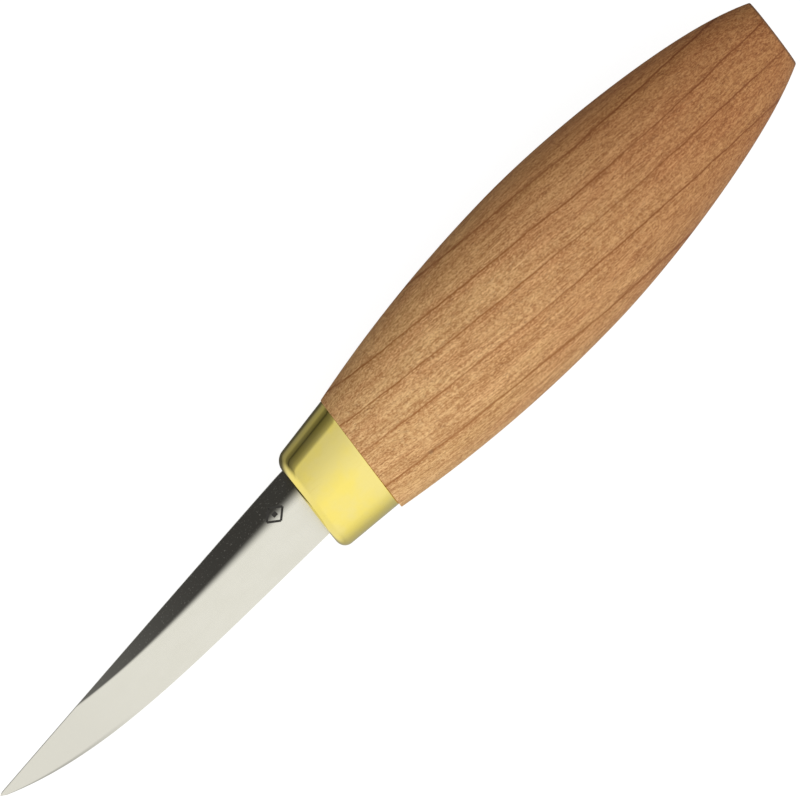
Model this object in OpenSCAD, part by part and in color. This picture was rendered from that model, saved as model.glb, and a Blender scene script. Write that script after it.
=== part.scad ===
// Whittling knife with a fixed blade: a forged blade and tang, a drawn brass ferrule and a barrel handle.
// +X runs from the tip to the butt, +Y from the cutting edge to the spine, +Z out of one face of the blade.
// The knife lies on its side: the origin is under the middle of its length, and the belly touches z = 0.

/* [Handle] */
// Length of the wood along its axis, from shoulder to butt
handle_len = 99.4; // [85:0.1:115]
// Width of the belly, across the blade's faces
belly_w = 30.7; // [26:0.1:34]
// Thickness of the belly, through the blade's faces
belly_t = 23.9; // [20:0.1:28]
// Distance of the belly from the shoulder
belly_x = 45.4; // [38:0.1:52]
// Width of the wood at the shoulder
shoulder_w = 22.3; // [21.8:0.1:24]
// Width of the wood at the butt
butt_w = 12.7; // [10:0.1:16]
// Slant of the shoulder, the ferrule's faces and the butt, from square
rake = 8.6; // [0:0.1:12]

/* [Ferrule] */
// Length of the ferrule along the axis
ferrule_len = 12.4; // [9:0.1:16]
// Width of the ferrule where it meets the wood
ferrule_w = 21.5; // [20:0.1:21.6]
// Width of the ferrule at its front face, before the rim is rounded
ferrule_front_w = 18.8; // [17:0.1:19.5]
// How far the ferrule sits towards the spine
ferrule_rise = 0.6; // [0:0.1:0.8]
// Radius of the rounded front rim
rim_r = 2.2; // [1.5:0.1:3]
// Wall of the brass cup
wall = 1; // [0.8:0.1:1.2]

/* [Blade] */
// Length of the blade in front of the ferrule
blade_len = 71.3; // [55:0.1:85]
// Thickness of the steel
blade_t = 2.6; // [2:0.1:3.2]
// Height of the spine above the axis at the ferrule
spine_y = 7.9; // [7:0.1:8.2]
// How far the spine drops from the ferrule to the tip
spine_drop = 3.6; // [2:0.1:5]
// Height of the edge at the ferrule, below the axis
edge_y = -5.2; // [-5.6:0.1:-4.5]
// Width of the ground bevel at the ferrule
bevel_w = 8.8; // [7.5:0.1:9.5]
// Width of the ground bevel along the front half of the blade
bevel_front_w = 7.4; // [6.5:0.1:7.5]

/* [Tang] */
// Length of the tang behind the ferrule's front face
tang_len = 64; // [40:1:75]
// Width of the tang
tang_w = 7; // [5:0.1:8]
// Thickness of the tang
tang_t = 2.4; // [1.8:0.1:3]
// Adhesive all round the tang in the drilled slot
tang_gap = 0.5; // [0.3:0.1:0.8]

/* [Hidden] */

$fn = 96;
slant = tan(rake);
flatness = belly_t / belly_w;
axis_z = belly_t / 2;
tip_x = -ferrule_len - blade_len;

// the barrel's outline: one power curve from belly to shoulder, a fuller one from belly to butt
front_power = 2.05;
back_power = 1.8;
butt_power = 8;
butt_share = 0.157;
front_rings = [0, 0.08, 0.16, 0.27, 0.6, 0.8, 1];
back_rings = [0.2, 0.4, 0.6, 0.8, 0.92, 1];

// the barrel's facets: each side has a wider flat one, keel degrees to each side, so that the knife lies steady
keel = 12;
quarter_steps = 8;
quarter = [for (i = [0 : quarter_steps]) (90 - keel) * i / quarter_steps];
half_turn = concat(quarter, [for (i = [quarter_steps : -1 : 1]) 180 - quarter[i]]);
turns = concat(half_turn, [for (a = half_turn) a + 180]);
oval_sides = len(turns);
butt_corner_x = handle_len + slant * half_width(handle_len + slant * butt_w / 2);
middle_x = (tip_x + butt_corner_x) / 2;

// the ferrule's side and rim, as seen along its own leaning axis
ferrule_r = ferrule_w / 2;
taper = (ferrule_w - ferrule_front_w) / 2 / ferrule_len;
lean = atan(taper);
side_length = sqrt(1 + taper * taper);
rim_x = rim_r - ferrule_len;
rim_y = ferrule_r + taper * rim_x - rim_r * side_length;
rim_steps = 6;
overrun = 3;

// the blade's outline: the edge rises by a straight part and a power curve
edge_slope = 2.3;
edge_curl = 6.7;
edge_power = 4.7;
spine_power = 1.08;
blade_steps = 26;
tip_cut = 0.988;
tip_half = 0.12;
edge_t = 0.1;
blend_end = 0.6;
blend_power = 1.5;
strip = 0.05;
crown = 0.97;
slot_gap = 0.15;

// the tang's outline and the slot drilled for it
tang_y = ferrule_rise;
tang_shoulder = 1.2;
tang_point = 4;
mortise_spare = 1.5;

// half the barrel's width at x, measured from the shoulder
function half_width(x) =
    x < belly_x
    ? belly_w / 2 - (belly_w - shoulder_w) / 2 * pow((belly_x - x) / belly_x, front_power)
    : belly_w / 2 - (belly_w - butt_w) / 2 * tail_curve((x - belly_x) / (handle_len - belly_x));
function tail_curve(u) = (1 - butt_share) * pow(u, back_power) + butt_share * pow(u, butt_power);

// an oval ring in a leaning plane through x on the axis, with its middle at y
function oval_ring(x, y, r) = [
    for (k = [0 : oval_sides - 1])
        let (a = 360 * k / oval_sides, side = y + r * cos(a))
            [x + slant * side, side, flatness * r * sin(a)]
];

// a ring of the barrel: each point takes the barrel's width at its own place along the axis
function barrel_ring(x) = [
    for (a = turns)
        let (
            near = half_width(x + slant * half_width(x) * cos(a)),
            r = half_width(x + slant * near * cos(a))
        )
            [x + slant * r * cos(a), r * cos(a), flatness * r * sin(a) / cos(keel)]
];

// along the blade, v is 0 at the ferrule's front face and 1 at the tip
function blade_x(v) = -ferrule_len - blade_len * v;
function spine(v) = spine_y - spine_drop * pow(v, spine_power);
function edge(v) = edge_y + edge_slope * v + edge_curl * pow(v, edge_power);
function bevel(v) =
    edge(v) + bevel_front_w + (bevel_w - bevel_front_w) * pow(1 - min(v / blend_end, 1), blend_power);

// half the blade's thickness at height y
function half_thickness(v, y) =
    min(blade_t / 2, edge_t / 2 + (blade_t - edge_t) / 2 * (y - edge(v)) / (bevel(v) - edge(v)));

// a six-sided ring from heights and half thicknesses at spine, bevel line and edge, leaning by s
function steel_ring(x, s, heights, halves) = [
    for (k = [0, 1, 2])
        [x + s * heights[k], heights[k], halves[k]],
    for (k = [2, 1, 0])
        [x + s * heights[k], heights[k], -halves[k]]
];
function blade_ring(v) =
    let (line = min(bevel(v), spine(v) - strip), heights = [spine(v), line, edge(v)])
        steel_ring(blade_x(v), 0, heights, [for (y = heights) half_thickness(v, y)]);

// moves a piece from the knife's own axis to the place where the knife lies
module lay_down() {
    translate([-middle_x, 0, axis_z])
        children();
}

// skins a list of rings of equal length, closed at both ends
module skinned(rings) {
    sides = len(rings[0]);
    last = len(rings) - 1;
    polyhedron(
        points = [for (ring = rings) each ring],
        faces = concat(
            [[for (k = [0 : sides - 1]) k]],
            [
                for (i = [0 : last - 1], k = [0 : sides - 1])
                    let (a = sides * i + k, b = sides * i + (k + 1) % sides)
                        each [[a, a + sides, b], [b, a + sides, b + sides]]
            ],
            [[for (k = [sides - 1 : -1 : 0]) sides * last + k]]
        )
    );
}

// the ferrule's outer form, or the same form inset by a wall, from its front face back to back_x
module cup(inset, back_x) {
    rim = [
        for (i = [0 : rim_steps])
            let (a = -90 + (90 - lean) * i / rim_steps)
                [rim_y + (rim_r - inset) * cos(a), rim_x + (rim_r - inset) * sin(a)]
    ];
    back = [[ferrule_r + taper * back_x - inset * side_length, back_x], [0, back_x]];
    rotate([0, 90, 0])
        rotate_extrude()
            polygon(concat([[0, inset - ferrule_len]], rim, back));
}

// the slot for the tang, drilled and squared out, with round ends
module mortise() {
    width = tang_w + 2 * tang_gap;
    drill = tang_t + 2 * tang_gap;
    translate([-ferrule_len - overrun, tang_y, 0])
        rotate([90, 0, 90])
            linear_extrude(overrun + tang_len + mortise_spare) {
                for (side = [-1, 1])
                    translate([side * (width - drill) / 2, 0])
                        circle(d = drill);
                square([width - drill, drill], center = true);
            }
}

// everything behind the plane of the ferrule's inner front face
module behind_front() {
    rotate([0, 0, -rake])
        translate([(wall - ferrule_len) * cos(rake), -belly_w, -belly_w])
            cube([2 * tang_len, 2 * belly_w, 2 * belly_w]);
}

// the outline of the tang, from its shoulders at the heel to its point
module tang_room() {
    half = tang_w / 2;
    end_x = tang_len - ferrule_len;
    translate([0, 0, -tang_t / 2])
        linear_extrude(tang_t)
            polygon([
                [-ferrule_len - overrun, tang_y - half],
                [end_x - tang_point, tang_y - half + tang_shoulder],
                [end_x, tang_y],
                [end_x - tang_point, tang_y + half - tang_shoulder],
                [-ferrule_len - overrun, tang_y + half]
            ]);
}

module blade() {
    heel = steel_ring(
        wall - ferrule_len, slant,
        [spine(0), (spine(0) + edge(0)) / 2, edge(0)],
        [crown, 1, crown] * blade_t / 2
    );
    tip_y = (spine(1) + edge(1)) / 2;
    tip = steel_ring(tip_x, 0, [tip_y + tip_half, tip_y, tip_y - tip_half], [crown, 1, crown] * edge_t / 2);
    rings = concat(
        [tip],
        [blade_ring(tip_cut)],
        [for (i = [blade_steps - 1 : -1 : 0]) blade_ring(i / blade_steps)],
        [heel]
    );
    color([0.8, 0.8, 0.77])
        lay_down()
            union() {
                skinned(rings);
                intersection() {
                    tang_room();
                    translate([-strip, 0, 0])
                        behind_front();
                }
            }
}

module ferrule() {
    slot = [spine(0) - edge(0) + 2 * slot_gap, blade_t + 2 * slot_gap];
    color([0.9, 0.82, 0.46])
        lay_down()
            difference() {
                multmatrix([
                    [1, slant, 0, slant * ferrule_rise],
                    [0, 1, 0, ferrule_rise],
                    [0, 0, flatness, 0],
                    [0, 0, 0, 1]
                ])
                    difference() {
                        cup(0, 0);
                        cup(wall, overrun);
                    }
                translate([-ferrule_len, (spine(0) + edge(0)) / 2, 0])
                    cube([2 * overrun, slot[0], slot[1]], center = true);
            }
}

module handle() {
    inner = rim_r - wall;
    tenon = [
        for (a = [-90, -45, -lean])
            oval_ring(rim_x + inner * sin(a), ferrule_rise, rim_y + inner * cos(a))
    ];
    collar = oval_ring(0, ferrule_rise, ferrule_r - wall * side_length);
    barrel = [
        for (part = front_rings)
            barrel_ring(belly_x * part),
        for (part = back_rings)
            barrel_ring(belly_x + (handle_len - belly_x) * part)
    ];
    color([0.72, 0.54, 0.36])
        lay_down()
            difference() {
                skinned(concat(tenon, [collar], barrel));
                mortise();
            }
}

module tang_epoxy() {
    color([0.3, 0.24, 0.16])
        lay_down()
            difference() {
                intersection() {
                    mortise();
                    behind_front();
                }
                tang_room();
            }
}

blade();
ferrule();
handle();
tang_epoxy();
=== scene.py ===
"""A whittling knife lying on its side: cherry barrel handle, brass ferrule, ground steel blade.

Shapes are worked out in millimetres along the knife's own axis: x is 0 at the wood's shoulder and grows
towards the butt, y grows from the cutting edge to the spine, z is 0 in the middle of the blade's thickness.
"""

import math

import bmesh
import bpy
import numpy as np
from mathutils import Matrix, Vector


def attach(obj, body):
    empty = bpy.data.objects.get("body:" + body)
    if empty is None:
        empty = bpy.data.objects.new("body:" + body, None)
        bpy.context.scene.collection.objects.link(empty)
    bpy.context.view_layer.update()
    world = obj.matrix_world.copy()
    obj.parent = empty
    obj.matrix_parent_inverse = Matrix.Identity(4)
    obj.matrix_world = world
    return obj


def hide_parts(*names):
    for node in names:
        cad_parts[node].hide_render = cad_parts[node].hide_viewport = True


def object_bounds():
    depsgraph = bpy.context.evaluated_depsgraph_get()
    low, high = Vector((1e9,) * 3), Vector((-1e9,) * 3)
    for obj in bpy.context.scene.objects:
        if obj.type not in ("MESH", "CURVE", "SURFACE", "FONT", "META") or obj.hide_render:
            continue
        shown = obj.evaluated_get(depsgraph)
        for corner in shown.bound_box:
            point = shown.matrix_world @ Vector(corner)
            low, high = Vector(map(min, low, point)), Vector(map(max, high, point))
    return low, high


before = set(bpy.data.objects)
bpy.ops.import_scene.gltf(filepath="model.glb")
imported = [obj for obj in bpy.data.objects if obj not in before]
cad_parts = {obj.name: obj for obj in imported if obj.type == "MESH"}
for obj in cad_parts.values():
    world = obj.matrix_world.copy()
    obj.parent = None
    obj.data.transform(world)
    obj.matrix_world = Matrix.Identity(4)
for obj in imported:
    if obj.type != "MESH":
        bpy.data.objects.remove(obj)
cad_low, cad_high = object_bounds()

MM = 0.001

# The handle, in millimetres: the same driving sizes as the CAD part.
HANDLE_LEN, BELLY_W, BELLY_X = 99.4, 30.7, 45.4
SHOULDER_W, BUTT_W = 22.3, 12.7
FRONT_POWER, BACK_POWER, BUTT_POWER, BUTT_SHARE = 2.05, 1.8, 8, 0.157
SLANT = math.tan(math.radians(8.6))

# The ferrule.
FERRULE_LEN, FERRULE_W, FERRULE_FRONT_W = 12.4, 21.5, 18.8
FERRULE_RISE, RIM_R, WALL = 0.6, 2.2, 1.0
TAPER = (FERRULE_W - FERRULE_FRONT_W) / 2 / FERRULE_LEN
SIDE_LENGTH = math.hypot(1, TAPER)
LEAN = math.atan(TAPER)
RIM_X = RIM_R - FERRULE_LEN
RIM_Y = FERRULE_W / 2 + TAPER * RIM_X - RIM_R * SIDE_LENGTH

# The blade and its tang.
BLADE_LEN, BLADE_T = 71.3, 2.6
SPINE_Y, SPINE_DROP, SPINE_POWER = 7.9, 3.6, 1.08
EDGE_Y, EDGE_SLOPE, EDGE_CURL, EDGE_POWER = -5.2, 2.3, 6.7, 4.7
BEVEL_W, BEVEL_FRONT_W, BLEND_END, BLEND_POWER = 8.8, 7.4, 0.6, 1.5
SOFT_TIP, SOFT_HEEL, SOFT_END, SOFT_POWER = 0.12, 1.25, 0.62, 1.25
APEX = 0.03
SLOT_GAP, SLOT_EASE = 0.15, 0.12
TANG_LEN, TANG_W, TANG_T, TANG_SHOULDER, TANG_POINT, TANG_GAP = 64.0, 7.0, 2.4, 1.2, 4.0, 0.5
MORTISE_SPARE = 1.5

# Where the knife's axis lies in the frame, from the CAD box.
SHOULDER = cad_low.x / MM + BLADE_LEN + FERRULE_LEN
AXIS_Z = (cad_low.z + cad_high.z) / 2 / MM
FLATNESS = (cad_high.z - cad_low.z) / MM / BELLY_W

# How the knife lies in the picture: its axis climbs to the upper right.
TILT = math.radians(46.05)
AIM = (2.85, 1.875)
VIEW_WIDTH = 134.9
LENS, SENSOR = 500.0, 36.0
UP = Vector((math.sin(TILT), math.cos(TILT), 0))

# The room's light against the lean from straight up, in degrees towards the spine's side.
ROOM = (
    (-180, 0.4), (-144, 0.45), (-120, 0.55), (-100, 0.75), (-78, 0.95), (-55, 1.0), (-15, 1.0), (8, 0.90),
    (30, 0.77), (50, 0.69), (63, 0.68), (68, 0.34), (73, 0.26), (80, 0.17), (89, 0.12), (94, 0.04),
    (98, 0.12), (106, 0.16), (114, 0.30), (128, 0.27), (144, 0.07), (165, 0.10),
)
ROOM_LIGHT, TIP_LIGHT, BUTT_SHADE = 1.0, 0.92, 0.45

# The lamp: its power in watts, and in metres its size, how far below the middle of the view, and how high.
KEY_LIGHT, KEY_SIZE, KEY_BACK, KEY_HEIGHT = 4.0, (0.9, 0.5), 0.7, 0.9


def make_camera():
    """A long lens looking straight down on the marked face."""
    data = bpy.data.cameras.new("camera")
    data.lens, data.sensor_width = LENS, SENSOR
    data.clip_start, data.clip_end = 0.05, 20
    camera = bpy.data.objects.new("camera", data)
    height = AXIS_Z + VIEW_WIDTH * LENS / SENSOR
    camera.location = Vector((AIM[0], AIM[1], height)) * MM
    camera.rotation_euler = (0, 0, -TILT)
    bpy.context.scene.collection.objects.link(camera)
    bpy.context.scene.camera = camera


# ---- meshes ----

AROUND = 224
ANGLES = np.linspace(0, 2 * math.pi, AROUND, endpoint=False)
COS, SIN = np.cos(ANGLES), np.sin(ANGLES)


def placed(points):
    """Points on the knife's own axis, in millimetres, as points of the frame, in metres."""
    return (np.asarray(points, float) + (SHOULDER, 0, AXIS_Z)) * MM


def make_piece(name, points, faces, material, sharp=32):
    """A mesh piece with its crisp edges marked, riding on the knife."""
    mesh = bpy.data.meshes.new(name)
    mesh.from_pydata([tuple(p) for p in placed(points)], [], faces)
    mesh.validate()
    piece = bpy.data.objects.new(name, mesh)
    bpy.context.scene.collection.objects.link(piece)
    work = bmesh.new()
    work.from_mesh(mesh)
    bmesh.ops.recalc_face_normals(work, faces=work.faces)
    limit = math.radians(sharp)
    for edge in work.edges:
        edge.smooth = len(edge.link_faces) == 2 and edge.calc_face_angle() < limit
    for face in work.faces:
        face.smooth = True
    work.to_mesh(mesh)
    work.free()
    mesh.materials.append(material)
    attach(piece, "root")
    return piece


def skin(rings, first=0, loop=False):
    """(points, faces) of a tube through rings of equal length, capped at both ends or closed on itself."""
    count, sides = len(rings), len(rings[0])
    points = np.concatenate(rings)
    faces = []
    for i in range(count if loop else count - 1):
        low, high = first + i * sides, first + (i + 1) % count * sides
        for k in range(sides):
            n = (k + 1) % sides
            faces.append((low + k, low + n, high + n, high + k))
    if not loop:
        faces.append(tuple(range(first + sides - 1, first - 1, -1)))
        last = first + (count - 1) * sides
        faces.append(tuple(range(last, last + sides)))
    return points, faces


def oval(x, r, rise=0.0):
    """An oval ring of half-width r in a leaning plane that crosses the axis at x."""
    y = rise + r * COS
    return np.stack([x + SLANT * y, y, FLATNESS * r * SIN], 1)


def rounded_slot(ring, middle, half_w, half_t, corner, x):
    """The nearest points to a ring on a slot's rounded outline, in the leaning plane through x."""
    near_y = np.clip(ring[:, 1], middle - half_w + corner, middle + half_w - corner)
    near_z = np.clip(ring[:, 2], corner - half_t, half_t - corner)
    away = ring[:, 1:] - np.stack([near_y, near_z], 1)
    away /= np.linalg.norm(away, axis=1)[:, None]
    y, z = near_y + corner * away[:, 0], near_z + corner * away[:, 1]
    return np.stack([x + SLANT * y, y, z], 1)


# ---- the handle ----

def half_width(x):
    """Half the barrel's width x behind the shoulder."""
    belly = BELLY_W / 2
    front = belly - (BELLY_W - SHOULDER_W) / 2 * (np.abs(BELLY_X - x) / BELLY_X) ** FRONT_POWER
    u = np.maximum(x - BELLY_X, 0) / (HANDLE_LEN - BELLY_X)
    tail = (1 - BUTT_SHARE) * u**BACK_POWER + BUTT_SHARE * u**BUTT_POWER
    back = belly - (BELLY_W - BUTT_W) / 2 * tail
    return np.where(x < BELLY_X, front, back)


def barrel_ring(x, inset=0.0):
    """A leaning ring of the barrel: each point takes the width at its own place along the axis."""
    r = half_width(np.full(AROUND, x))
    for _ in range(4):
        r = half_width(x + SLANT * r * COS)
    r = r - inset
    return np.stack([x + SLANT * r * COS, r * COS, FLATNESS * r * SIN], 1)


def mortise_ring(ring, x=None):
    """The drilled slot for the tang, in the tenon's leaning front face or square across at x."""
    half = TANG_T / 2 + TANG_GAP
    made = rounded_slot(ring, FERRULE_RISE, TANG_W / 2 + TANG_GAP, half, half - 0.01, WALL - FERRULE_LEN)
    if x is not None:
        made[:, 0] = x
    return made


# Where the butt face has rings, as shares of its half-width.
BUTT_RINGS = (0.02, 0.2, 0.45, 0.7, 0.85)


def make_handle(material):
    arris, ease, steps = 0.2, 0.12, 5
    turns = [math.pi / 2 * i / steps for i in range(steps + 1)]
    rings = [barrel_ring(HANDLE_LEN, half_width(HANDLE_LEN) * (1 - s)) for s in BUTT_RINGS]
    for a in reversed(turns):
        rings.append(barrel_ring(HANDLE_LEN - arris * (1 - math.sin(a)), arris * (1 - math.cos(a))))
    for x in np.linspace(HANDLE_LEN - 1.2, 0.8, 130):
        rings.append(barrel_ring(x))
    for a in turns:
        rings.append(barrel_ring(ease * (1 - math.sin(a)), ease * (1 - math.cos(a))))
    inner = RIM_R - WALL
    tenon_r = FERRULE_W / 2 - WALL * SIDE_LENGTH
    rings.append(oval(0, tenon_r + 0.2, FERRULE_RISE))
    for x in np.linspace(0, RIM_X, 5):
        rings.append(oval(x, tenon_r + TAPER * x, FERRULE_RISE))
    for a in (0.5, 1.0, math.pi / 2):
        rings.append(oval(RIM_X - inner * math.sin(a), RIM_Y + inner * math.cos(a), FERRULE_RISE))
    front = rings[-1]
    rings.append(mortise_ring(front))
    rings.append(mortise_ring(front, TANG_LEN + MORTISE_SPARE - FERRULE_LEN))
    points, faces = skin(rings)
    piece = make_piece("cherry_handle", points, faces, material)
    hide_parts("handle")


# ---- the ferrule ----

def slot_ring(ring, x, grow=0.0):
    """The punched slot round the blade."""
    middle, half = (SPINE_Y + EDGE_Y) / 2, (SPINE_Y - EDGE_Y) / 2
    return rounded_slot(ring, middle, half + SLOT_GAP + grow, BLADE_T / 2 + SLOT_GAP + grow, 0.35 + grow, x)


def make_ferrule(material):
    outer, ease, steps = FERRULE_W / 2, 0.15, 12
    rings = [oval(0, outer - ease, FERRULE_RISE), oval(-0.04, outer - 0.3 * ease, FERRULE_RISE)]
    for x in np.linspace(-ease, RIM_X, 26):
        rings.append(oval(x, outer + TAPER * x, FERRULE_RISE))
    for i in range(1, steps + 1):
        a = LEAN + (math.pi / 2 - LEAN) * i / steps
        rings.append(oval(RIM_X - RIM_R * math.sin(a), RIM_Y + RIM_R * math.cos(a), FERRULE_RISE))
    rim = rings[-1]
    eased = slot_ring(rim, -FERRULE_LEN, SLOT_EASE)
    for part in (0.25, 0.5, 0.75, 0.9, 1):
        rings.append(rim * (1 - part) + eased * part)
    for depth, grow in ((0.04, 0.03), (0.14, 0.0), (WALL, 0.0)):
        rings.append(slot_ring(rim, depth - FERRULE_LEN, grow))
    inner = RIM_R - WALL
    for a in (math.pi / 2, 1.1, 0.7, LEAN):
        rings.append(oval(RIM_X - inner * math.sin(a), RIM_Y + inner * math.cos(a), FERRULE_RISE))
    for x in (RIM_X / 2, 0):
        rings.append(oval(x, outer + TAPER * x - WALL * SIDE_LENGTH, FERRULE_RISE))
    points, faces = skin(rings, loop=True)
    piece = make_piece("brass_ferrule", points, faces, material, sharp=40)
    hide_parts("ferrule")


# ---- the blade ----

def blade_x(v):
    return -FERRULE_LEN - BLADE_LEN * v


def spine(v):
    return SPINE_Y - SPINE_DROP * np.maximum(v, 0) ** SPINE_POWER


def edge(v):
    return EDGE_Y + EDGE_SLOPE * v + EDGE_CURL * np.maximum(v, 0) ** EDGE_POWER


def bevel(v):
    wide = (BEVEL_W - BEVEL_FRONT_W) * (1 - np.clip(v / BLEND_END, 0, 1)) ** BLEND_POWER
    return edge(v) + BEVEL_FRONT_W + wide


def softness(v):
    """How far the bevel line is rubbed over, in millimetres of height: most at the ferrule."""
    return SOFT_TIP + SOFT_HEEL * np.clip(1 - v / SOFT_END, 0, 1.3) ** SOFT_POWER


def half_thickness(v, y):
    """Half the steel's thickness at height y: the flat, the bevel, and a rounded line between them."""
    rise = (BLADE_T / 2 - APEX) / (bevel(v) - edge(v))
    ground = APEX + (y - edge(v)) * rise
    flat = BLADE_T / 2
    reach = softness(v) * rise
    overlap = np.maximum(reach - np.abs(flat - ground), 0) / reach
    return np.minimum(flat, ground) - overlap**2 * reach / 4


BEVEL_ROWS = (0, 0.015, 0.04, 0.1, 0.2, 0.32, 0.45, 0.57, 0.68, 0.77, 0.84, 0.89, 0.93, 0.96, 0.98, 0.99, 1)
FLAT_ROWS = (0.01, 0.03, 0.06, 0.1, 0.16, 0.24, 0.34, 0.46, 0.6, 0.75, 0.9)
SPINE_EASE = 0.14
EDGE_SHADE, SPINE_GRIND = 0.55, 0.3
TIP_START = 0.988


def blade_rows(v):
    """Heights of the rows from the edge to the spine's arris, at v."""
    top, low = spine(v), edge(v)
    if v > TIP_START:
        middle = (spine(1) + edge(1)) / 2
        close = math.sqrt(max(1 - (v - TIP_START) / (1 - TIP_START), 0.0004))
        top, low = middle + (top - middle) * close, middle + (low - middle) * close
    ease = min(SPINE_EASE, (top - low) / 6)
    line = min(bevel(v), top - ease - 0.03 * (top - low))
    rows = [low + (line - low) * f for f in BEVEL_ROWS]
    rows += [line + (top - ease - line) * f for f in FLAT_ROWS]
    return np.array(rows), top, ease


def blade_ring(v):
    """A section of the blade as (ring, values): at each point 1 on the bevel and 0 on the flat, and less at
    the cutting edge near the tip, where a painted dark reflection is mixed in.
    """
    rows, top, ease = blade_rows(v)
    halves = half_thickness(v, rows)
    crown = half_thickness(v, top - ease)
    ys = np.concatenate([rows, [top - ease, top - 0.3 * ease, top, top]])
    hs = np.concatenate([halves, [crown, crown - 0.3 * ease, crown - ease, 0.3 * (crown - ease)]])
    hs = np.maximum(hs, 0.2 * APEX)
    worn = softness(v)
    grind_and_edge_shade = 1 - smooth((ys - bevel(v) + 0.15 * worn) / (2 * (0.08 + 0.85 * worn)) + 0.5)
    # Painted shade: towards the tip, the rows at the cutting edge take some of the flat's dark colour as a
    # painted dark reflection along the edge.
    grind_and_edge_shade[:3] -= EDGE_SHADE * smooth((v - 0.6) / 0.3)
    grind_and_edge_shade[-3:] = SPINE_GRIND
    ring = np.stack([np.full_like(ys, blade_x(v)), ys, hs], 1)
    back = ring[::-1] * (1, 1, -1)
    return np.concatenate([ring, back]), np.concatenate([grind_and_edge_shade, grind_and_edge_shade[::-1]])


def smooth(t):
    t = np.clip(t, 0, 1)
    return t * t * (3 - 2 * t)


def tang_shell(first):
    """(points, faces) of the tang, from the heel to its point."""
    half, end = TANG_W / 2, TANG_LEN - FERRULE_LEN
    stations = (
        (WALL - FERRULE_LEN - 0.02, half, SLANT),
        (end - TANG_POINT, half - TANG_SHOULDER, 0),
        (end - 0.3, 0.4, 0),
    )
    rings = []
    for x, wide, lean in stations:
        ys = np.array([wide, -wide, -wide, wide]) + FERRULE_RISE
        zs = np.array([1, 1, -1, -1]) * TANG_T / 2
        rings.append(np.stack([x + lean * ys, ys, zs], 1))
    return skin(rings, first)


def make_blade(material):
    tip = [1 - (1 - TIP_START) * s for s in (0, 0.02, 0.06, 0.14, 0.28, 0.5, 0.75)]
    stations = tip + list(np.linspace(TIP_START, 0, 190))
    made = [blade_ring(v) for v in stations]
    heel, heel_grind = blade_ring(0.0)
    heel[:, 0] = WALL - FERRULE_LEN + SLANT * heel[:, 1]
    made.append((heel, heel_grind))
    points, faces = skin([ring for ring, _ in made])
    tang_points, tang_faces = tang_shell(len(points))
    points = np.concatenate([points, tang_points])
    piece = make_piece("carving_blade", points, faces + tang_faces, material, sharp=14)
    grind_and_edge_shade = np.concatenate([g for _, g in made] + [np.zeros(len(tang_points))])
    layer = piece.data.attributes.new("grind_and_edge_shade", "FLOAT", "POINT")
    layer.data.foreach_set("value", grind_and_edge_shade.astype(np.float32))
    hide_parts("blade")


def on_face(x, y, lift):
    """The point of the marked face over (x, y), lifted off it."""
    return (x, y, float(half_thickness((-FERRULE_LEN - x) / BLADE_LEN, y)) + lift)


def bar(start, end, width, first):
    """(points, faces) of a thin bar that follows the blade's face."""
    steps, top, bottom = 8, 0.012, -0.03
    start, end = np.array(start), np.array(end)
    along = (end - start) / np.linalg.norm(end - start)
    side = np.array([-along[1], along[0]]) * width / 2
    rings = []
    for i in range(steps + 1):
        p = start + (end - start) * i / steps
        a, b = p + side, p - side
        corners = [on_face(*a, top), on_face(*b, top), on_face(*b, bottom), on_face(*a, bottom)]
        rings.append(np.array(corners))
    return skin(rings, first)


def make_figure(material):
    """A plain etched figure: a small solid lozenge inside the outline of a larger one."""
    middle, wide, tall, line = (-17.4, 3.7), 1.9, 1.5, 0.4
    core, thick = 0.45, 0.75
    turns = [math.pi / 2 * i for i in range(4)]
    corners = [(middle[0] + wide * math.cos(a), middle[1] + tall * math.sin(a)) for a in turns]
    bars = [(corners[i], corners[(i + 1) % 4], line) for i in range(4)]
    bars.append(((middle[0] - core, middle[1]), (middle[0] + core, middle[1]), thick))
    points, faces = [], []
    for start, end, width in bars:
        more, sides = bar(start, end, width, len(points))
        points += list(more)
        faces += sides
    piece = make_piece("etched_figure", np.array(points), faces, material)


def make_glue(material):
    """The cured adhesive that shows round the blade in the ferrule's slot."""
    rim = oval(-FERRULE_LEN, RIM_Y, FERRULE_RISE)
    outer = slot_ring(rim, 0.1 - FERRULE_LEN, 0.01)
    ys = np.clip(outer[:, 1], EDGE_Y, SPINE_Y)
    halves = half_thickness(0.0, ys)
    zs = np.clip(outer[:, 2], -halves, halves)
    zs = np.where((outer[:, 1] > EDGE_Y) & (outer[:, 1] < SPINE_Y), np.sign(outer[:, 2]) * halves, zs)
    inner = np.stack([0.04 - FERRULE_LEN + SLANT * ys, ys, zs], 1)
    middle = (outer + inner) / 2 + (0.12, 0, 0)
    deep = (WALL - 0.25, 0, 0)
    rings = [outer, middle, inner, inner + deep, outer + deep]
    points, faces = skin(rings, loop=True)
    piece = make_piece("slot_adhesive", points, faces, material, sharp=60)


# ---- materials ----

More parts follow.
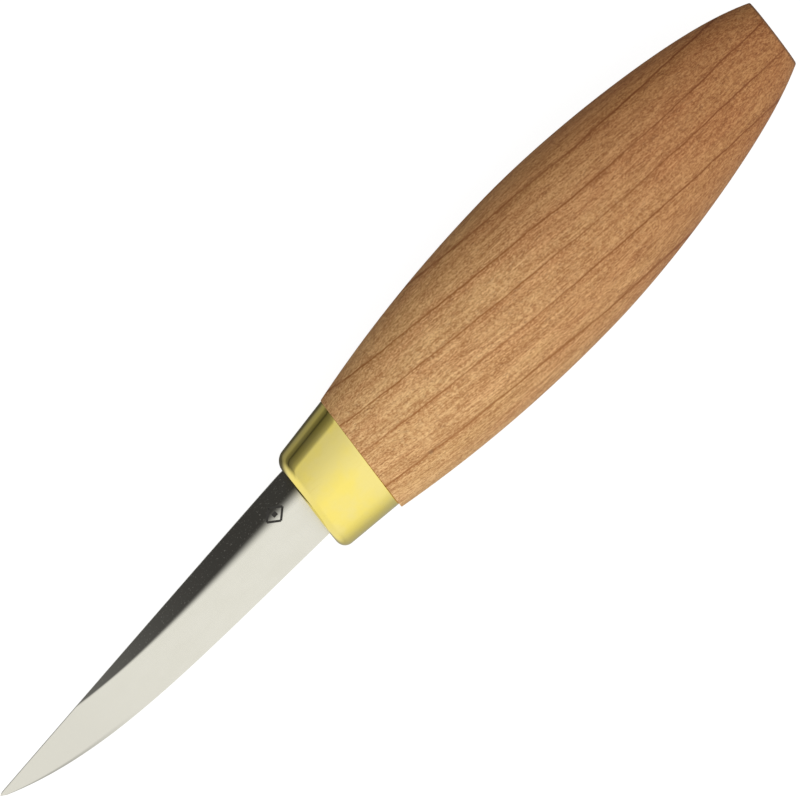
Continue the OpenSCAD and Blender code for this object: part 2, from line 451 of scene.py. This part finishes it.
class Nodes:
    """Short calls for building a node tree. A number, tuple or socket may be given for any input."""

    def __init__(self, tree):
        self.tree = tree
        tree.nodes.clear()

    def add(self, kind, inputs=(), **settings):
        made = self.tree.nodes.new(kind)
        for name, value in settings.items():
            setattr(made, name, value)
        for key, value in dict(inputs).items():
            self.put(made.inputs[key], value)
        return made

    def put(self, socket, value):
        if isinstance(value, bpy.types.NodeSocket):
            self.tree.links.new(value, socket)
        else:
            socket.default_value = value

    def math(self, operation, a, b=0.0, c=0.0):
        return self.add("ShaderNodeMath", {0: a, 1: b, 2: c}, operation=operation).outputs[0]

    def vector(self, operation, a, b=(0, 0, 0)):
        made = self.add("ShaderNodeVectorMath", {0: a, 1: b}, operation=operation)
        return made.outputs["Value" if operation == "DOT_PRODUCT" else "Vector"]

    def split(self, vector):
        made = self.add("ShaderNodeSeparateXYZ", {0: vector})
        return made.outputs[0], made.outputs[1], made.outputs[2]

    def join(self, x, y, z):
        return self.add("ShaderNodeCombineXYZ", {0: x, 1: y, 2: z}).outputs[0]

    def noise(self, vector, scale, detail=2.0, roughness=0.5, distortion=0.0):
        inputs = {"Vector": vector, "Scale": scale, "Detail": detail, "Roughness": roughness,
                  "Distortion": distortion}
        return self.add("ShaderNodeTexNoise", inputs).outputs[0]

    def step(self, value, low, high):
        """0 below low, 1 above high, smooth between them."""
        inputs = {"Value": value, "From Min": low, "From Max": high, "To Min": 0.0, "To Max": 1.0}
        return self.add("ShaderNodeMapRange", inputs, interpolation_type="SMOOTHSTEP").outputs[0]

    def span(self, value, low, high, start, end):
        inputs = {"Value": value, "From Min": low, "From Max": high, "To Min": start, "To Max": end}
        return self.add("ShaderNodeMapRange", inputs).outputs[0]

    def ramp(self, value, stops):
        made = self.add("ShaderNodeValToRGB", {0: value})
        points = made.color_ramp.elements
        while len(points) < len(stops):
            points.new(1.0)
        for point, (place, colour) in zip(points, stops):
            point.position, point.color = place, (*colour, 1.0)
        return made.outputs[0]

    def mix(self, factor, a, b, blend="MIX"):
        made = self.add("ShaderNodeMix", data_type="RGBA", blend_type=blend)
        for index, value in ((0, factor), (6, a), (7, b)):
            if isinstance(value, tuple):
                value = (*value, 1.0)
            self.put(made.inputs[index], value)
        return made.outputs[2]


def new_material(name):
    """(material, nodes, surface, place): a Principled surface, and the place on the knife, in mm."""
    material = bpy.data.materials.new(name)
    material.use_nodes = True
    nodes = Nodes(material.node_tree)
    surface = nodes.add("ShaderNodeBsdfPrincipled")
    output = nodes.add("ShaderNodeOutputMaterial")
    nodes.put(output.inputs["Surface"], surface.outputs[0])
    spot = nodes.add("ShaderNodeTexCoord").outputs["Object"]
    scaled = nodes.add("ShaderNodeVectorMath", {0: spot, "Scale": 1 / MM}, operation="SCALE").outputs[0]
    place = nodes.vector("SUBTRACT", scaled, (SHOULDER, 0, AXIS_Z))
    return material, nodes, surface, place


def add_bump(nodes, surface, height, strength, distance):
    made = nodes.add("ShaderNodeBump", {"Height": height, "Strength": strength, "Distance": distance * MM})
    nodes.put(surface.inputs["Normal"], made.outputs[0])


# The growth rings: their slant and bow along the handle, the gap between them in millimetres, where one of
# them lies as a share of the gap, and how much closer they grow on the edge's side.
RING_SLANT, RING_BOW, RING_GAP, RING_PLACE, RING_CLOSING = 0.1445, -0.00043, 5.75, -0.16, -0.0388
# How far they wander, slowly and quickly, how they dish through the thickness, and how frayed they are.
RING_WANDER, RING_RIPPLE, RING_DISH, RING_FRAY = 1.1, 0.5, 0.006, 0.045


def cherry():
    """Oiled cherry: thin dark ring lines that slant towards the butt, fibres, pores and ray flecks."""
    material, n, surface, place = new_material("oiled_cherry")
    x, y, z = n.split(place)

    # The ring field: distance across the growth rings, which bend slowly along the handle.
    slow = n.vector("MULTIPLY", place, (0.03, 0.06, 0.06))
    wander = n.math("SUBTRACT", n.noise(slow, 1.0, 1.0), 0.5)
    quick = n.vector("MULTIPLY", place, (0.16, 0.3, 1.0))
    ripple = n.math("SUBTRACT", n.noise(quick, 1.0, 2.0), 0.5)
    bow = n.math("MULTIPLY", n.math("MULTIPLY", x, x), RING_BOW)
    across = n.math("MULTIPLY_ADD", x, RING_SLANT, y)
    across = n.math("ADD", across, bow)
    across = n.math("MULTIPLY_ADD", wander, RING_WANDER, across)
    across = n.math("MULTIPLY_ADD", ripple, RING_RIPPLE, across)
    across = n.math("MULTIPLY_ADD", n.math("MULTIPLY", z, z), RING_DISH, across)

    # Fibres and pores run along the grain, so their space is squeezed across it.
    def fibre(along, over, detail=3.0, roughness=0.55, distortion=0.0):
        vector = n.join(n.math("MULTIPLY", x, along), n.math("MULTIPLY", across, over),
                        n.math("MULTIPLY", z, over))
        return n.noise(vector, 1.0, detail, roughness, distortion)

    patches = fibre(0.06, 0.30, 2.0)
    coarse = fibre(0.03, 0.55)
    streaks = fibre(0.055, 1.9, 4.0, 0.62)
    hairs = fibre(0.33, 3.9, 3.0, 0.65)
    fuzz = fibre(2.1, 4.4, 2.0, 0.6, 0.4)
    pores = n.step(fibre(0.8, 3.6, 1.0), 0.62, 0.72)

    closing = n.math("MULTIPLY", n.math("MINIMUM", across, 0.0), RING_CLOSING)
    ring = n.math("ADD", n.math("MULTIPLY_ADD", across, 1 / RING_GAP, RING_PLACE), closing)
    ring = n.math("MULTIPLY_ADD", n.math("SUBTRACT", fuzz, 0.5), RING_FRAY, ring)
    phase = n.math("FRACT", ring)

    # Ray flecks ripple softly across the grain where the face is cut along the rays.
    unsteady = n.vector("MULTIPLY", place, (0.5, 0.9, 0.5))
    waver = n.math("MULTIPLY", n.noise(unsteady, 1.0, 2.0), 2.6)
    crossing = n.join(n.math("MULTIPLY_ADD", x, 1.5, waver), n.math("MULTIPLY", across, 0.8), z)
    ladder = n.noise(crossing, 1.0, 2.0, 0.6)
    middle = n.math("SUBTRACT", 1.0, n.step(n.math("ABSOLUTE", n.math("ADD", y, 1.0)), 5.0, 11.0))
    flecks = n.math("MULTIPLY", n.step(patches, 0.36, 0.60), middle)

    # Each year grades from pale to warm, and ends in a thin dark line, fainter in places.
    year = n.ramp(phase, [
        (0.0, (0.40, 0.190, 0.070)), (0.025, (0.53, 0.280, 0.110)), (0.10, (0.60, 0.345, 0.145)),
        (0.50, (0.60, 0.340, 0.142)), (0.84, (0.56, 0.300, 0.118)), (0.94, (0.50, 0.250, 0.092)),
    ])
    line = n.math("MULTIPLY", n.step(phase, 0.945, 0.970), n.span(coarse, 0.3, 0.6, 0.62, 0.95))
    colour = n.mix(n.math("MULTIPLY", n.step(patches, 0.47, 0.66), 0.45), year, (0.67, 0.425, 0.175))
    colour = n.mix(n.math("MULTIPLY", n.step(patches, 0.52, 0.33), 0.45), colour, (0.53, 0.240, 0.092))
    colour = n.mix(n.math("MULTIPLY", n.step(coarse, 0.42, 0.66), 0.40), colour, (0.48, 0.245, 0.085))

    # (noise, value where it starts, value where it is full, strength, colour)
    dark, pale = (0.30, 0.120, 0.032), (0.86, 0.560, 0.265)
    for grain, start, full, strength, tint in (
        (streaks, 0.47, 0.66, 0.50, dark),
        (streaks, 0.50, 0.33, 0.46, pale),
        (hairs, 0.50, 0.68, 0.43, dark),
        (hairs, 0.50, 0.32, 0.42, pale),
        (fuzz, 0.50, 0.66, 0.58, dark),
        (fuzz, 0.50, 0.33, 0.50, pale),
    ):
        colour = n.mix(n.math("MULTIPLY", n.step(grain, start, full), strength), colour, tint)
    colour = n.mix(n.math("MULTIPLY", pores, 0.40), colour, (0.20, 0.080, 0.026))
    for start, full, tint in ((0.50, 0.66, (0.80, 0.53, 0.26)), (0.50, 0.34, (0.42, 0.185, 0.065))):
        fleck = n.math("MULTIPLY", flecks, n.step(ladder, start, full))
        colour = n.mix(n.math("MULTIPLY", fleck, 0.32), colour, tint)
    colour = n.mix(line, colour, (0.29, 0.108, 0.022))

    # Painted shade: the wood is darker and redder towards the butt and towards the spine. It is darkest on
    # its end grain.
    colour = n.mix(n.step(x, 0.0, 95.0), colour, (0.68, 0.52, 0.42), "MULTIPLY")
    colour = n.mix(n.step(y, 4.0, 16.0), colour, (0.84, 0.79, 0.73), "MULTIPLY")
    normal = n.add("ShaderNodeTexCoord").outputs["Normal"]
    end = n.step(n.vector("DOT_PRODUCT", normal, (0.989, -0.150, 0)), 0.45, 0.85)
    speckle = n.noise(place, 2.2, 4.0, 0.7)
    end_colour = n.mix(speckle, (0.10, 0.040, 0.016), (0.30, 0.145, 0.062))
    # Painted shade: a thin band round the butt's rim takes the end grain's dark colour as a dark outline.
    rim_shade = n.step(n.math("MULTIPLY_ADD", y, -SLANT, x), HANDLE_LEN - 0.5, HANDLE_LEN - 0.2)
    colour = n.mix(n.math("MAXIMUM", end, n.math("MULTIPLY", rim_shade, 0.85)), colour, end_colour)

    # One small pit on the marked face, near the shoulder.
    ends = {0: n.vector("MULTIPLY", place, (0.7, 1.0, 0.25)), 1: (6.0, -7.9, 1.6)}
    away = n.add("ShaderNodeVectorMath", ends, operation="DISTANCE").outputs["Value"]
    pit = n.math("SUBTRACT", 1.0, n.step(away, 0.15, 0.62))
    colour = n.mix(n.math("MULTIPLY", pit, 0.65), colour, (0.17, 0.085, 0.035))

    n.put(surface.inputs["Base Color"], colour)
    n.put(surface.inputs["Roughness"], n.span(streaks, 0.3, 0.7, 0.50, 0.64))
    surface.inputs["Specular IOR Level"].default_value = 0.35
    height = n.math("MULTIPLY_ADD", hairs, 0.5, n.math("MULTIPLY", streaks, 0.5))
    height = n.math("MULTIPLY_ADD", fuzz, 0.6, height)
    height = n.math("MULTIPLY_ADD", pores, -0.5, height)
    height = n.math("MULTIPLY_ADD", pit, -2.5, height)
    add_bump(n, surface, height, 0.5, 0.05)
    return material


def brass():
    """Polished brass, with faint rubbed marks along it and a warm uneven tarnish."""
    material, n, surface, place = new_material("polished_brass")
    clouds = n.noise(place, 0.16, 3.0, 0.6)
    rubs = n.noise(n.vector("MULTIPLY", place, (0.25, 2.2, 2.2)), 1.0, 4.0, 0.65)
    fine = n.noise(n.vector("MULTIPLY", place, (0.5, 9.0, 9.0)), 1.0, 2.0, 0.5)
    colour = n.mix(n.step(clouds, 0.35, 0.65), (0.935, 0.80, 0.275), (0.975, 0.815, 0.20))
    colour = n.mix(n.math("MULTIPLY", n.step(rubs, 0.55, 0.8), 0.22), colour, (0.84, 0.65, 0.15))
    n.put(surface.inputs["Base Color"], colour)
    surface.inputs["Metallic"].default_value = 1.0
    n.put(surface.inputs["Roughness"], n.span(rubs, 0.3, 0.75, 0.04, 0.12))
    add_bump(n, surface, n.math("ADD", rubs, n.math("MULTIPLY", fine, 0.4)), 0.12, 0.02)
    return material


def steel():
    """Blade steel: a dark flat with fine specks, and a bright ground bevel."""
    material, n, surface, place = new_material("blade_steel")
    x, _, _ = n.split(place)
    grind_and_edge_shade = n.add("ShaderNodeAttribute", attribute_name="grind_and_edge_shade").outputs["Fac"]
    clouds = n.noise(n.vector("MULTIPLY", place, (0.12, 0.3, 0.3)), 1.0, 3.0, 0.6)
    specks = n.noise(place, 3.2, 3.0, 0.7)
    lines = n.noise(n.vector("MULTIPLY", place, (7.0, 0.35, 0.35)), 1.0, 3.0, 0.6)
    forward = n.math("POWER", n.span(x, -18.0, -66.0, 0.0, 1.0), 2.5)
    dark = n.mix(forward, (0.044, 0.042, 0.037), (0.18, 0.178, 0.162))
    dark = n.mix(n.math("MULTIPLY", n.step(specks, 0.58, 0.74), 0.6), dark, (0.24, 0.235, 0.21))
    bright = n.mix(n.step(clouds, 0.3, 0.7), (0.75, 0.74, 0.655), (0.775, 0.765, 0.685))
    bright = n.mix(forward, bright, (0.72, 0.71, 0.635))
    bright = n.mix(n.math("MULTIPLY", n.step(lines, 0.5, 0.8), 0.16), bright, (0.64, 0.63, 0.58))
    # The bevel's bright colour against the dark flat. Near the tip, the cutting edge is drawn darker as a
    # painted reflection.
    n.put(surface.inputs["Base Color"], n.mix(grind_and_edge_shade, dark, bright))
    surface.inputs["Metallic"].default_value = 1.0
    rough = n.math("MULTIPLY_ADD", n.math("SUBTRACT", 1.0, grind_and_edge_shade), 0.14, 0.2)
    n.put(surface.inputs["Roughness"], n.math("MULTIPLY_ADD", lines, 0.08, rough))
    add_bump(n, surface, n.math("MULTIPLY_ADD", specks, 0.4, lines), 0.10, 0.01)
    return material


def etch():
    """The dark oxide of an etched figure."""
    material, n, surface, place = new_material("etch_oxide")
    grain = n.noise(place, 6.0, 3.0, 0.7)
    n.put(surface.inputs["Base Color"], n.mix(grain, (0.012, 0.011, 0.010), (0.05, 0.047, 0.042)))
    surface.inputs["Metallic"].default_value = 0.4
    n.put(surface.inputs["Roughness"], n.span(grain, 0.3, 0.7, 0.45, 0.7))
    return material


def adhesive():
    """Dark cured adhesive, a little uneven."""
    material, n, surface, place = new_material("cured_adhesive")
    lumps = n.noise(place, 1.4, 3.0, 0.6)
    n.put(surface.inputs["Base Color"], n.mix(lumps, (0.05, 0.032, 0.016), (0.13, 0.085, 0.04)))
    n.put(surface.inputs["Roughness"], n.span(lumps, 0.3, 0.7, 0.25, 0.45))
    add_bump(n, surface, lumps, 0.3, 0.05)
    return material


# ---- the studio ----

def make_world():
    """A bright room, seen from the knife: full at the tip's end and on the edge's side."""
    world = bpy.data.worlds.new("studio")
    world.use_nodes = True
    bpy.context.scene.world = world
    n = Nodes(world.node_tree)
    way = n.add("ShaderNodeTexCoord").outputs["Generated"]
    x, y, z = n.split(way)
    lean = n.math("MULTIPLY_ADD", n.math("ARCTAN2", y, z), 1 / math.tau, 0.5)
    stops = [(angle / 360 + 0.5, (level, level, level)) for angle, level in ROOM]
    around = n.math("MULTIPLY", n.ramp(lean, stops), ROOM_LIGHT)
    tipward = n.step(x, -0.40, -0.80)
    level = n.math("MULTIPLY_ADD", n.math("SUBTRACT", TIP_LIGHT, around), tipward, around)
    level = n.math("MULTIPLY", level, n.span(n.step(x, 0.2, 0.9), 0.0, 1.0, 1.0, 1.0 - BUTT_SHADE))
    background = n.add("ShaderNodeBackground", {"Color": (1.0, 0.99, 0.975, 1.0), "Strength": level})
    output = n.add("ShaderNodeOutputWorld")
    n.put(output.inputs["Surface"], background.outputs[0])


def make_key():
    """One broad lamp above the picture's foot."""
    data = bpy.data.lights.new("key", "AREA")
    data.shape, data.energy = "RECTANGLE", KEY_LIGHT
    data.size, data.size_y = KEY_SIZE
    lamp = bpy.data.objects.new("key", data)
    lamp.visible_glossy = False
    lamp.location = -UP * KEY_BACK + Vector((0, 0, KEY_HEIGHT))
    lamp.rotation_euler = (-lamp.location).to_track_quat("-Z", "Y").to_euler()
    bpy.context.scene.collection.objects.link(lamp)


def stage_plane(name, size, z, glow, albedo):
    """A pale stage piece that the camera sees, and that neither lights nor shades the knife."""
    material = bpy.data.materials.new(name)
    material.use_nodes = True
    n = Nodes(material.node_tree)
    inputs = {"Base Color": (albedo, albedo, albedo, 1.0), "Roughness": 0.9}
    surface = n.add("ShaderNodeBsdfPrincipled", inputs)
    surface.inputs["Specular IOR Level"].default_value = 0.0
    surface.inputs["Emission Color"].default_value = (1.0, 1.0, 1.0, 1.0)
    surface.inputs["Emission Strength"].default_value = glow
    output = n.add("ShaderNodeOutputMaterial")
    n.put(output.inputs["Surface"], surface.outputs[0])
    mesh = bpy.data.meshes.new(name)
    half = size / 2
    corners = [(-half, -half, z), (half, -half, z), (half, half, z), (-half, half, z)]
    mesh.from_pydata(corners, [], [(0, 1, 2, 3)])
    mesh.materials.append(material)
    plane = bpy.data.objects.new(name, mesh)
    bpy.context.scene.collection.objects.link(plane)
    return plane


def make_stage():
    floor = stage_plane("floor", size=12.0, z=cad_low.z, glow=0.90, albedo=0.20)
    bpy.ops.mesh.primitive_uv_sphere_add(segments=48, ring_count=24, radius=6.0, location=(0, 0, 0))
    backdrop = bpy.context.object
    backdrop.name = "backdrop"
    backdrop.data.materials.append(floor.data.materials[0])
    for piece in (floor, backdrop):
        piece.visible_diffuse = piece.visible_glossy = piece.visible_shadow = False
        piece.visible_transmission = False


make_camera()
wood, metal, bright_steel = cherry(), brass(), steel()
dark, glue = etch(), adhesive()
make_handle(wood)
make_ferrule(metal)
make_blade(bright_steel)
make_figure(dark)
make_glue(glue)
# The hidden adhesive keeps its CAD mesh, and takes the look of the adhesive that shows.
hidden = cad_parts["tang_epoxy"]
for slot in hidden.material_slots:
    slot.material = glue
make_world()
make_key()
make_stage()
bpy.context.scene.view_settings.view_transform = "Standard"
